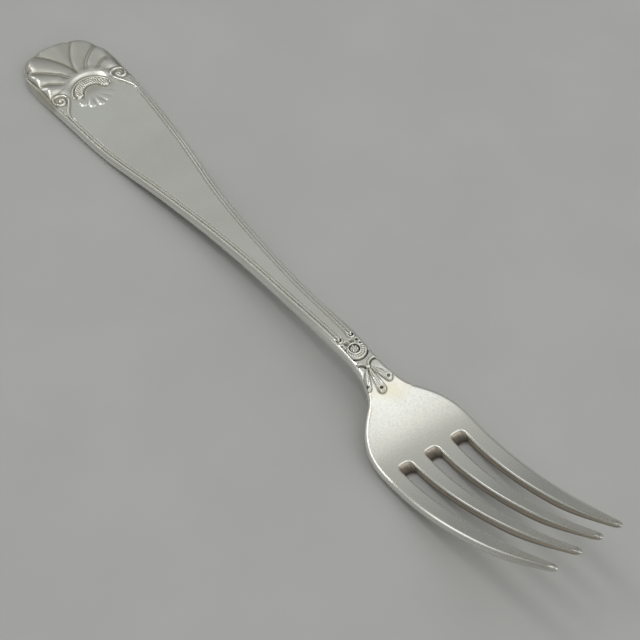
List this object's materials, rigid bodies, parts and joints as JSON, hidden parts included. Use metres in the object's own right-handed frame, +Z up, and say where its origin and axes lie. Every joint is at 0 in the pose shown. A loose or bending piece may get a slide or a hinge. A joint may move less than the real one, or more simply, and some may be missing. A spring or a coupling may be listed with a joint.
{
  "type": "dinner fork",
  "caption": "Dinner fork with curved tapering tines, a slim neck and a broad handle edged by raised threads and ended by a relief shell, for spearing and lifting food.",
  "frame": {"origin": "on the table plane, midway between the end of the handle and the tips of the tines, on the middle line", "axes": "+X along the fork from the handle to the tips of the tines, +Y across it, +Z up, off the table and out of the decorated face"},
  "size_m": [0.2, 0.0254, 0.0235],
  "materials": {
    "silver": "polished silver, worn, with fine scratches",
    "relief_silver": "struck relief in silver, with tarnish in its recesses"
  },
  "bodies": {
    "root": {"handle": "silver", "neck": "silver", "bowl": "silver", "tine_1": "silver", "tine_2": "silver", "tine_3": "silver", "tine_4": "silver", "shell_lobes": "relief_silver", "shell_arch": "relief_silver", "shell_crescent": "relief_silver", "shell_pendant": "relief_silver", "right_volute": "relief_silver", "left_volute": "relief_silver", "right_border": "relief_silver", "left_border": "relief_silver", "neck_scrolls": "relief_silver", "neck_rosette": "relief_silver", "neck_palmette": "relief_silver"}
  },
  "joints": []
}
